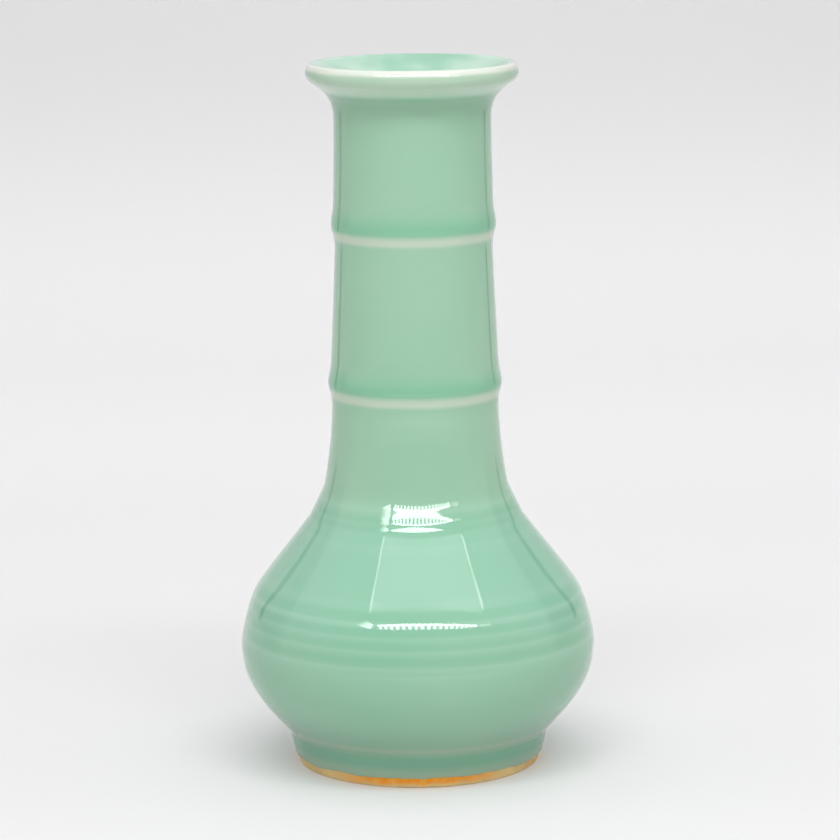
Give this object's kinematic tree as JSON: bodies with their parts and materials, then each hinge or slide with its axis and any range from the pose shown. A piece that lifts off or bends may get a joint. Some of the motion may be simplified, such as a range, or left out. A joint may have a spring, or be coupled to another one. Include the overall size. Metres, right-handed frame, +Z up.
{
  "type": "flower vase",
  "caption": "Celadon flower vase for the tea room: round bulb with turned lines on a foot ring, long neck with bamboo nodes and a flared lip, to hold water and cut stems.",
  "frame": {"origin": "on the axis of the vase, at the level of the surface that the foot ring stands on", "axes": "+Z up along the axis of the vase; +X and +Y are level, and the vase is round about +Z"},
  "size_m": [0.111, 0.111, 0.22],
  "materials": {
    "stoneware": "fired pale stoneware under the glaze, matte and fine-grained",
    "burnt_foot": "bare stoneware, fired to a warm orange along the glaze line, matte",
    "slip": "fired luting slip, matte",
    "celadon": "glossy blue-green celadon glaze, paler on edges and deeper where it pools",
    "inner_celadon": "glossy blue-green celadon glaze, thinner and paler than outside"
  },
  "bodies": {
    "root": {"foot_ring": "burnt_foot", "lower_bulb": "stoneware", "upper_bulb": "stoneware", "neck_root": "stoneware", "neck_middle": "stoneware", "neck_upper": "stoneware", "mouth_lip": "stoneware", "foot_luting": "slip", "belly_luting": "slip", "shoulder_luting": "slip", "lower_node_luting": "slip", "upper_node_luting": "slip", "lip_luting": "slip", "outer_glaze": "celadon", "inner_glaze": "inner_celadon", "foot_well_glaze": "celadon"}
  },
  "joints": []
}
